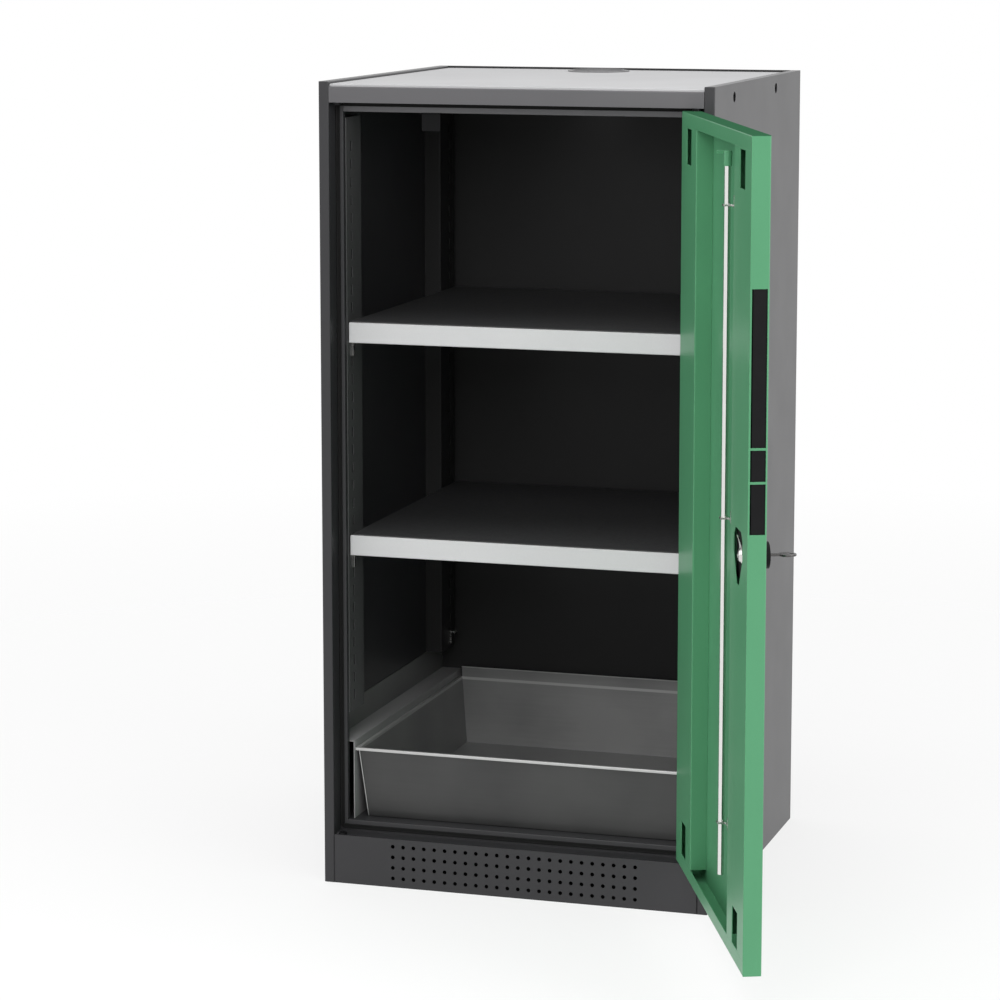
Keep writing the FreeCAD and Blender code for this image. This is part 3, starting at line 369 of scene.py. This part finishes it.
# The tray's zinc is painted darker than the strips' zinc, painted shade on its outside; its inside
# is lifted 4.3 times, painted light, and its rims get a painted highlight.
TRAY_ZINC_PAINTED_LIGHT_AND_SHADE = rolled_zinc("tray_zinc_painted_light_and_shade", (0.048, 0.048, 0.0485), (0.07, 0.07, 0.0695),
                        (TRAY_HEM, TRAY_RIM, TRAY_TOP, (0.5, 0.5, 0.495)),
                        (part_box("sump_tray"), 4.3))
DOOR_COAT = powder_coat("door_green_coat", GREEN, 0.36, 0.3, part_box("door_panel")[1][2])
# Painted light: the front uprights get a lighter copy of the anthracite.
UPRIGHT_PAINTED_LIGHT_COAT = powder_coat("upright_painted_light_coat", UPRIGHT_PAINTED_LIGHT_GREY, 0.4, 0.3)
KEEPER_COAT = powder_coat("keeper_coat", BLACK, 0.5, 0.08)
# Painted highlight: the header rail gets a lighter copy of the anthracite coat.
HEADER_PAINTED_HIGHLIGHT_COAT = powder_coat("header_painted_highlight_coat", HEADER_PAINTED_HIGHLIGHT_GREY, 0.34, 0.32)
# Painted light: the tray supports' coat is raised well above their own grey.
LEDGE_PAINTED_LIGHT_COAT = powder_coat("ledge_painted_light_coat", LEDGE_PAINTED_LIGHT_GREY, 0.36, 0.4)
MAT_RUBBER = moulded_plastic("shelf_mat_rubber", (0.034, 0.034, 0.035), 0.52, 500.0, 0.4)
BEAD_ZINC = bright_metal("weld_bead_zinc", (0.55, 0.55, 0.54), 0.3, 0.4, (1, 1, 1))
KEY_NICKEL = bright_metal("key_nickel", (0.11, 0.107, 0.105), 0.18, 0.3, (1, 1, 1))


# Geometry trees

def start_tree(name, sizes):
    """Starts a geometry tree with a named input for each size."""
    tree = bpy.data.node_groups.new(name, "GeometryNodeTree")
    tree.interface.new_socket(name="Geometry", in_out="INPUT", socket_type="NodeSocketGeometry")
    kinds = {int: "NodeSocketInt", float: "NodeSocketFloat", bpy.types.Object: "NodeSocketObject"}
    for label, value in sizes.items():
        tree.interface.new_socket(name=label, in_out="INPUT", socket_type=kinds[type(value)])
    tree.interface.new_socket(name="Geometry", in_out="OUTPUT", socket_type="NodeSocketGeometry")
    return tree, tree.nodes.new("NodeGroupInput").outputs


def end_tree(tree, geometry, material):
    """Ends a geometry tree with real geometry and its material."""
    real = add_node(tree, "GeometryNodeRealizeInstances", inputs={"Geometry": geometry})
    painted = add_node(tree, "GeometryNodeSetMaterial", inputs={"Geometry": real.outputs[0]})
    painted.inputs["Material"].default_value = material
    output = tree.nodes.new("NodeGroupOutput")
    tree.links.new(painted.outputs[0], output.inputs[0])


def grown(name, mesh, tree, sizes):
    """Runs a geometry tree on a mesh and gives the result as a plain mesh."""
    helper = bpy.data.objects.new(name + "_helper", mesh)
    bpy.context.scene.collection.objects.link(helper)
    modifier = helper.modifiers.new("tree", "NODES")
    modifier.node_group = tree
    sockets = {item.name: item.identifier for item in tree.interface.items_tree
               if item.in_out == "INPUT"}
    for label, value in sizes.items():
        modifier[sockets[label]] = value
    bpy.context.view_layer.update()
    graph = bpy.context.evaluated_depsgraph_get()
    made = bpy.data.meshes.new_from_object(helper.evaluated_get(graph))
    made.name = name
    bpy.data.objects.remove(helper)
    return made


def vent_tree(sizes, material):
    """Cuts a field of round vents and a row of bush holes through a folded plate."""
    tree, given = start_tree("round_vents", sizes)
    span = calculate(tree, "MULTIPLY", given["Pitch"],
                     calculate(tree, "SUBTRACT", given["Columns"], 1.0))
    rise = calculate(tree, "MULTIPLY", given["Pitch"],
                     calculate(tree, "SUBTRACT", given["Rows"], 1.0))
    field = add_node(tree, "GeometryNodeMeshGrid", inputs={
        "Size X": span, "Size Y": rise,
        "Vertices X": given["Columns"], "Vertices Y": given["Rows"]})
    middle = calculate(tree, "ADD", given["Lift"], calculate(tree, "MULTIPLY", rise, 0.5))
    place = add_node(tree, "ShaderNodeCombineXYZ", inputs={"Y": given["Front"], "Z": middle})
    stood = add_node(tree, "GeometryNodeTransform", inputs={
        "Geometry": field.outputs["Mesh"], "Translation": place.outputs[0], "Rotation": UPRIGHT})
    cutter = add_node(tree, "GeometryNodeMeshCylinder", inputs={
        "Vertices": given["Sides"], "Radius": given["Vent radius"], "Depth": given["Cut depth"]})
    vents = add_node(tree, "GeometryNodeInstanceOnPoints", inputs={
        "Points": stood.outputs[0], "Instance": cutter.outputs["Mesh"], "Rotation": UPRIGHT})
    left = add_node(tree, "ShaderNodeCombineXYZ", inputs={
        "X": calculate(tree, "MULTIPLY", given["Bush place"], -1.0), "Y": given["Bush line"],
        "Z": given["Bush level"]})
    gap = add_node(tree, "ShaderNodeCombineXYZ", inputs={
        "X": calculate(tree, "MULTIPLY", given["Bush place"], 2.0)})
    row = add_node(tree, "GeometryNodeMeshLine", inputs={
        "Count": 2, "Start Location": left.outputs[0], "Offset": gap.outputs[0]})
    bore = add_node(tree, "GeometryNodeMeshCylinder", inputs={
        "Vertices": BUSH_SIDES, "Radius": given["Bush hole"], "Depth": given["Cut depth"]})
    holes = add_node(tree, "GeometryNodeInstanceOnPoints", inputs={
        "Points": row.outputs[0], "Instance": bore.outputs["Mesh"]})
    cutters = add_node(tree, "GeometryNodeJoinGeometry")
    tree.links.new(vents.outputs[0], cutters.inputs[0])
    tree.links.new(holes.outputs[0], cutters.inputs[0])
    solid = add_node(tree, "GeometryNodeRealizeInstances", inputs={"Geometry": cutters.outputs[0]})
    cut = add_node(tree, "GeometryNodeMeshBoolean", {"operation": "DIFFERENCE"})
    tree.links.new(given["Geometry"], cut.inputs["Mesh 1"])
    tree.links.new(solid.outputs[0], cut.inputs["Mesh 2"])
    end_tree(tree, cut.outputs["Mesh"], material)
    return tree


def sweep_tree(name, sizes, material):
    """Sweeps a profile along the edges of a mesh, with rounded corners."""
    tree, given = start_tree(name, sizes)
    path = add_node(tree, "GeometryNodeMeshToCurve", inputs={"Mesh": given["Geometry"]})
    rounded = add_node(tree, "GeometryNodeFilletCurve", {"mode": "POLY"}, {
        "Curve": path.outputs[0], "Count": CORNER_STEPS, "Radius": given["Corner radius"]})
    aimed = add_node(tree, "GeometryNodeSetCurveNormal", {"mode": "FREE"}, {
        "Curve": rounded.outputs[0], "Normal": FORWARD})
    shape = add_node(tree, "GeometryNodeObjectInfo", inputs={"Object": given["Profile"]})
    profile = add_node(tree, "GeometryNodeMeshToCurve", inputs={"Mesh": shape.outputs["Geometry"]})
    swept = add_node(tree, "GeometryNodeCurveToMesh", inputs={
        "Curve": aimed.outputs[0], "Profile Curve": profile.outputs[0], "Fill Caps": True})
    end_tree(tree, swept.outputs[0], material)
    return tree


def wire_mesh(name, loops):
    """Makes a mesh of edges alone, from closed or open runs of points."""
    points, edges = [], []
    for run, closed in loops:
        first = len(points)
        points += [tuple(point) for point in run]
        edges += [(first + index, first + index + 1) for index in range(len(run) - 1)]
        if closed:
            edges.append((first + len(run) - 1, first))
    mesh = bpy.data.meshes.new(name)
    mesh.from_pydata(points, edges, [])
    return mesh


# Pieces

def place_piece(name, mesh, body, slot, finish=None):
    """Puts a finished mesh in the scene as a piece that moves with a body."""
    piece = bpy.data.objects.new(name, mesh)
    bpy.context.scene.collection.objects.link(piece)
    mesh.materials.clear()
    mesh.materials.append(finish or FINISHES[slot])
    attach(piece, body)
    return piece


def merged_mesh(node):
    """Copies a node's mesh with its loose triangles joined at their corners."""
    mesh = frame["nodes"][node].data.copy()
    mesh.name = node + "_dressed"
    work = bmesh.new()
    work.from_mesh(mesh)
    bmesh.ops.remove_doubles(work, verts=work.verts, dist=WELD)
    work.to_mesh(mesh)
    work.free()
    if "custom_normal" in mesh.attributes:
        mesh.attributes.remove(mesh.attributes["custom_normal"])
    return mesh


def outward(mesh):
    """Merges a mesh's doubles and turns its faces outwards."""
    work = bmesh.new()
    work.from_mesh(mesh)
    bmesh.ops.remove_doubles(work, verts=work.verts, dist=WELD)
    bmesh.ops.recalc_face_normals(work, faces=work.faces)
    work.to_mesh(mesh)
    work.free()


def smooth(mesh):
    """Shades every face of a mesh smooth."""
    for face in mesh.polygons:
        face.use_smooth = True


def weigh_edges(mesh, shortest=0.0):
    """Gives each edge a share of the bend radius: all outside a bend, less inside or elsewhere."""
    work = bmesh.new()
    work.from_mesh(mesh)
    layer = work.edges.layers.float.new("bevel_weight_edge")
    for edge in work.edges:
        if len(edge.link_faces) != 2 or edge.calc_face_angle() < SHARP_ANGLE:
            continue
        length = edge.calc_length()
        if length < shortest:
            edge.smooth = False
            continue
        flange = 2 * min(face.calc_area() for face in edge.link_faces) / length
        square = edge.calc_face_angle() > SQUARE_ANGLE
        if length > BEND_LENGTH and flange > BEND_FLANGE and square:
            edge[layer] = 1.0 if edge.is_convex else INNER_BEND_SHARE
        else:
            edge[layer] = EDGE_SHARE
    work.to_mesh(mesh)
    work.free()


def round_bends(piece):
    """Rounds the weighed edges and lets the flat faces rule the shading across them."""
    smooth(piece.data)
    bevel = piece.modifiers.new("bends", "BEVEL")
    bevel.limit_method = "WEIGHT"
    bevel.width = BEND_OUTSIDE
    bevel.segments = BEND_SEGMENTS
    bevel.use_clamp_overlap = False
    shading = piece.modifiers.new("shading", "WEIGHTED_NORMAL")
    shading.mode = "FACE_AREA"
    shading.weight = 100
    shading.keep_sharp = True


def dress(node, finish=None):
    """Stands a copy with rounded bends in for a node."""
    mesh = merged_mesh(node)
    weigh_edges(mesh)
    piece = place_piece(node + "_dressed", mesh, BODY_OF[node], SLOT_OF[node], finish)
    round_bends(piece)
    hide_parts(node)


def on_door(point):
    """Turns a place on the closed door, measured from its pivot, to where the door hangs ajar."""
    return Matrix.Rotation(DOOR_ANGLE, 3, "Z") @ Vector(point) + PIVOT


def folded_strip(outline, low, high):
    """Makes a strip of one section, given as points across and up, between two places along X."""
    mesh = bpy.data.meshes.new("strip")
    work = bmesh.new()
    ends = [[work.verts.new((along, *point)) for point in outline] for along in (low, high)]
    count = len(outline)
    for index in range(count):
        after = (index + 1) % count
        work.faces.new((ends[0][index], ends[0][after], ends[1][after], ends[1][index]))
    work.faces.new(ends[0])
    work.faces.new(ends[1])
    bmesh.ops.recalc_face_normals(work, faces=work.faces)
    work.to_mesh(mesh)
    work.free()
    return mesh


def make_plinth():
    """The folded plinth with its field of round vents."""
    low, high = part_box("plinth_panel")
    near, far, top = low[1], high[1], high[2]
    outline = [
        (near, 0), (far, 0), (far, SHEET), (near + SHEET, SHEET),
        (near + SHEET, top - 2 * SHEET), (far, top - 2 * SHEET),
        (far, top - SHEET), (near + SHEET, top - SHEET), (near + SHEET, top), (near, top)]
    sizes = {
        "Pitch": VENT_PITCH, "Columns": VENT_COLUMNS, "Rows": VENT_ROWS, "Sides": VENT_SIDES,
        "Vent radius": VENT_RADIUS, "Lift": VENT_LIFT, "Front": near, "Cut depth": 4 * SHEET,
        "Bush place": BUSH_PLACE, "Bush line": BUSH_LINE, "Bush hole": BUSH_HOLE,
        "Bush level": top - 1.5 * SHEET}
    tree = vent_tree(sizes, FINISHES["anthracite_paint"])
    mesh = grown("plinth_with_vents", folded_strip(outline, low[0], high[0]), tree, sizes)
    weigh_edges(mesh, VENT_EDGE)
    piece = place_piece("plinth_with_vents", mesh, "carcass", "anthracite_paint")
    round_bends(piece)
    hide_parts("plinth_panel")


def make_seal():
    """The rubber seal, a lipped profile that runs round the door stop."""
    low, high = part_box("door_seal")
    profile = bpy.data.objects.new("seal_profile", wire_mesh("seal_profile", [
        ([(rise * SEAL_LIP, side * SEAL_HALF, 0) for rise, side in SEAL_SECTION], True)]))
    left, right = low[0] + SEAL_HALF, high[0] - SEAL_HALF
    below, above = low[2] + SEAL_HALF, high[2] - SEAL_HALF
    corners = [(across, high[1], level) for across, level in (
        (left, below), (right, below), (right, above), (left, above))]
    sizes = {"Corner radius": SEAL_CORNER, "Profile": profile}
    tree = sweep_tree("seal_sweep", sizes, FINISHES["seal_rubber"])
    mesh = grown("lipped_door_seal", wire_mesh("seal_path", [(corners, True)]), tree, sizes)
    bpy.data.objects.remove(profile)
    outward(mesh)
    piece = place_piece("lipped_door_seal", mesh, "carcass", "seal_rubber")
    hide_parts("door_seal")


def make_tray_beads():
    """The weld beads down the four slanting corners of the sump tray."""
    low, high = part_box("sump_tray")
    wall, near, far = high[0] - TRAY_LIP, low[1] + TRAY_LIP, high[1]
    runs = []
    for side in (-1, 1):
        for edge, inward in ((near, 1), (far, -1)):
            foot = Vector((side * (wall - TRAY_TAPER), edge + inward * TRAY_TAPER,
                           low[2] + BEAD_RADIUS))
            head = Vector((side * wall, edge, TRAY_RIM - 2 * SHEET))
            runs.append(([foot, head], False))
    ring = [(BEAD_RADIUS * math.cos(turn), BEAD_RADIUS * math.sin(turn), 0)
            for turn in (math.tau * index / BEAD_SIDES for index in range(BEAD_SIDES))]
    profile = bpy.data.objects.new("bead_profile", wire_mesh("bead_profile", [(ring, True)]))
    sizes = {"Corner radius": 0.0, "Profile": profile}
    tree = sweep_tree("bead_sweep", sizes, BEAD_ZINC)
    mesh = grown("tray_weld_beads", wire_mesh("bead_paths", runs), tree, sizes)
    bpy.data.objects.remove(profile)
    outward(mesh)
    smooth(mesh)
    place_piece("tray_weld_beads", mesh, "carcass", "galvanised_sheet", BEAD_ZINC)


def make_cam():
    """The cam: a pressed leaf that bends outwards, on a domed hub."""
    work = bmesh.new()

    def add_corner(across, out, up):
        """Adds a corner, in millimetres from the lock's axis."""
        return work.verts.new(on_door((
            LOCK_X + across * MM, CAM_LEVEL + out * MM, LOCK_HEIGHT + up * MM)))

    under, over = [
        [[add_corner(side * half, level + lift, rise) for side in (-1, 0, 1)]
         for rise, half, lift in CAM_LEAF]
        for level in (0.0, CAM_SHEET)]
    for rows in (under, over):
        for one, two in zip(rows, rows[1:]):
            for left in (0, 1):
                work.faces.new((one[left], one[left + 1], two[left + 1], two[left]))
    for side in (0, 2):
        for index in range(len(CAM_LEAF) - 1):
            work.faces.new((under[index][side], under[index + 1][side],
                            over[index + 1][side], over[index][side]))
    for end in (0, len(CAM_LEAF) - 1):
        for left in (0, 1):
            work.faces.new((under[end][left], under[end][left + 1],
                            over[end][left + 1], over[end][left]))
    turns = [math.tau * index / HUB_SIDES for index in range(HUB_SIDES)]
    rings = [
        [add_corner(radius * math.cos(turn), lift, radius * math.sin(turn)) for turn in turns]
        for lift, radius in CAM_HUB[:-1]]
    crown = add_corner(0.0, CAM_HUB[-1][0], 0.0)
    for one, two in zip(rings, rings[1:]):
        for index in range(HUB_SIDES):
            after = (index + 1) % HUB_SIDES
            work.faces.new((one[index], one[after], two[after], two[index]))
    for index in range(HUB_SIDES):
        work.faces.new((rings[-1][index], rings[-1][(index + 1) % HUB_SIDES], crown))
    work.faces.new(rings[0])
    bmesh.ops.recalc_face_normals(work, faces=work.faces)
    mesh = bpy.data.meshes.new("cam_leaf_and_hub")
    work.to_mesh(mesh)
    work.free()
    smooth(mesh)
    mesh.set_sharp_from_angle(angle=CAM_SHARP)
    piece = place_piece("cam_leaf_and_hub", mesh, "lock", "nickel_plate")
    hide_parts("lock_cam", "cam_screw")


SPECIAL_FINISH = {
    "rear_panel": INNER_PAINTED_SHADE_COAT,
    "front_left_upright": UPRIGHT_PAINTED_LIGHT_COAT,
    "front_right_upright": UPRIGHT_PAINTED_LIGHT_COAT,
    "door_panel": DOOR_COAT,
    "rod_keeper": KEEPER_COAT,
    "rear_left_upright": INNER_PAINTED_SHADE_COAT,
    "rear_right_upright": INNER_PAINTED_SHADE_COAT,
    "left_tray_support": LEDGE_PAINTED_LIGHT_COAT,
    "right_tray_support": LEDGE_PAINTED_LIGHT_COAT,
    "upper_shelf_mat": MAT_RUBBER,
    "lower_shelf_mat": MAT_RUBBER,
    "header_rail": HEADER_PAINTED_HIGHLIGHT_COAT,
    "top_panel": TOP_PAINTED_REFLECTION_COAT,
    "exhaust_collar": COLLAR_COAT,
    "sump_tray": TRAY_ZINC_PAINTED_LIGHT_AND_SHADE,
    "key": KEY_NICKEL,
}
MADE_ANEW = ("plinth_panel", "door_seal", "lock_cam", "cam_screw")

for node in sorted(BODY_OF):
    if node not in MADE_ANEW:
        dress(node, SPECIAL_FINISH.get(node))
make_plinth()
make_seal()
make_tray_beads()
make_cam()


# Stage

FLOOR_REACH = 3.2
FLOOR_FADE = 2.4
FLOOR_GLOW = 0.7
FLOOR_SIDES = 96
FLOOR_PALE = (0.93, 0.93, 0.93)
# Painted shade for the floor under the cabinet
FLOOR_PAINTED_SHADE = (0.02, 0.02, 0.02)
FLOOR_ROUGHNESS = 0.8
FLOOR_GLOSS = 0.1
UNDER_CABINET = (272.0 * MM, 259.5 * MM)
LAMPS = (  # name, place, aim, size and watts
    ("front_box", (0.4, -3.5, 2.3), (0.0, -0.2, 0.75), (1.8, 1.8), 43),
    ("right_box", (3.2, -1.5, 1.2), (0.3, -0.2, 0.4), (1.6, 2.0), 52),
    ("top_box", (0.2, -0.6, 3.3), (0.1, 0.0, 0.6), (2.4, 2.4), 34),
    ("left_box", (-3.2, -1.6, 2.2), (0, -0.2, 0.5), (1.6, 2.2), 24))
AMBIENT = 0.6
SEEN_WHITE = 1.0


def seen_plainly(tree):
    """Tells the rays of the camera, of mirrors and of glass from those that light things."""
    path = add_node(tree, "ShaderNodeLightPath")
    mirrored = calculate(tree, "MAXIMUM", path.outputs["Is Glossy Ray"],
                         path.outputs["Is Transmission Ray"])
    return calculate(tree, "MAXIMUM", path.outputs["Is Camera Ray"], mirrored)


def floor_material():
    """A pale floor that melts into white, keeps the shadow and has painted shade under the
    cabinet.
    """
    material, tree, shader, place = start_material("pale_floor")
    shader.inputs["Roughness"].default_value = FLOOR_ROUGHNESS
    shader.inputs["Specular IOR Level"].default_value = FLOOR_GLOSS
    white = add_node(tree, "ShaderNodeEmission", inputs={"Color": (1, 1, 1, 1), "Strength": 1.0})
    folded = add_node(tree, "ShaderNodeVectorMath", {"operation": "ABSOLUTE"}, {0: place})
    apart = add_node(tree, "ShaderNodeSeparateXYZ", inputs={"Vector": folded.outputs[0]})
    beside = calculate(tree, "GREATER_THAN", apart.outputs["X"], UNDER_CABINET[0])
    before = calculate(tree, "GREATER_THAN", apart.outputs["Y"], UNDER_CABINET[1])
    open_floor = calculate(tree, "MAXIMUM", beside, before)
    # Painted shade: under the cabinet the floor is coloured dark and gets no glow.
    feed(tree, shader, Base_Color=shaded(tree, open_floor, FLOOR_PAINTED_SHADE, FLOOR_PALE))
    lit = calculate(tree, "MULTIPLY", seen_plainly(tree), open_floor)
    lifted = add_node(tree, "ShaderNodeMixShader", inputs={
        0: calculate(tree, "MULTIPLY", lit, FLOOR_GLOW)})
    tree.links.new(shader.outputs["BSDF"], lifted.inputs[1])
    tree.links.new(white.outputs[0], lifted.inputs[2])
    distance = add_node(tree, "ShaderNodeVectorMath", {"operation": "LENGTH"}, {0: place})
    faded = spread(tree, distance.outputs["Value"], 0, 1,
                   FLOOR_REACH - FLOOR_FADE, FLOOR_REACH)
    clear = add_node(tree, "ShaderNodeBsdfTransparent")
    mix = add_node(tree, "ShaderNodeMixShader", inputs={0: faded})
    tree.links.new(lifted.outputs[0], mix.inputs[1])
    tree.links.new(clear.outputs["BSDF"], mix.inputs[2])
    output = next(item for item in tree.nodes if item.type == "OUTPUT_MATERIAL")
    tree.links.new(mix.outputs[0], output.inputs["Surface"])
    return material


work = bmesh.new()
bmesh.ops.create_circle(work, cap_ends=True, segments=FLOOR_SIDES, radius=FLOOR_REACH)
floor_mesh = bpy.data.meshes.new("floor")
work.to_mesh(floor_mesh)
work.free()
floor = bpy.data.objects.new("floor", floor_mesh)
floor_mesh.materials.append(floor_material())
bpy.context.scene.collection.objects.link(floor)


def soft_light(name, place, aim, size, power):
    """A soft box that faces its aim."""
    data = bpy.data.lights.new(name, "AREA")
    data.shape = "RECTANGLE"
    data.size, data.size_y = size
    data.energy = power
    lamp = bpy.data.objects.new(name, data)
    lamp.location = place
    lamp.rotation_euler = (Vector(aim) - Vector(place)).to_track_quat("-Z", "Y").to_euler()
    bpy.context.scene.collection.objects.link(lamp)


def light_world():
    """Plain light from all round; the camera, mirrors and glass see white."""
    world = bpy.data.worlds.new("studio")
    world.use_nodes = True
    tree = world.node_tree
    tree.nodes.clear()
    strength = add_node(tree, "ShaderNodeMapRange", inputs={
        "Value": seen_plainly(tree), "To Min": AMBIENT, "To Max": SEEN_WHITE})
    background = add_node(tree, "ShaderNodeBackground", inputs={
        "Color": (1, 1, 1, 1), "Strength": strength.outputs["Result"]})
    output = add_node(tree, "ShaderNodeOutputWorld")
    tree.links.new(background.outputs["Background"], output.inputs["Surface"])
    bpy.context.scene.world = world


for lamp in LAMPS:
    soft_light(*lamp)
light_world()


# Camera, solved from the carcass corners in the photo

CAMERA_PLACE = Vector((1301.7, -4509.6, 1317.3)) * MM
CAMERA_YAW = math.radians(-17.251)
CAMERA_PITCH = math.radians(-8.765)
FOCAL_PIXELS = 3368.5
LENS_DROP = 60.0
FRAME_PIXELS = 1000.0
SENSOR_WIDTH = 36.0

camera_data = bpy.data.cameras.new("camera")
camera_data.sensor_width = SENSOR_WIDTH
camera_data.lens = FOCAL_PIXELS / FRAME_PIXELS * SENSOR_WIDTH
camera_data.shift_y = -LENS_DROP / FRAME_PIXELS
camera = bpy.data.objects.new("camera", camera_data)
forward = Vector((math.sin(CAMERA_YAW) * math.cos(CAMERA_PITCH),
                  math.cos(CAMERA_YAW) * math.cos(CAMERA_PITCH),
                  math.sin(CAMERA_PITCH)))
camera.location = CAMERA_PLACE
camera.rotation_euler = forward.to_track_quat("-Z", "Y").to_euler()
bpy.context.scene.collection.objects.link(camera)
bpy.context.scene.camera = camera
bpy.context.scene.view_settings.view_transform = "Standard"
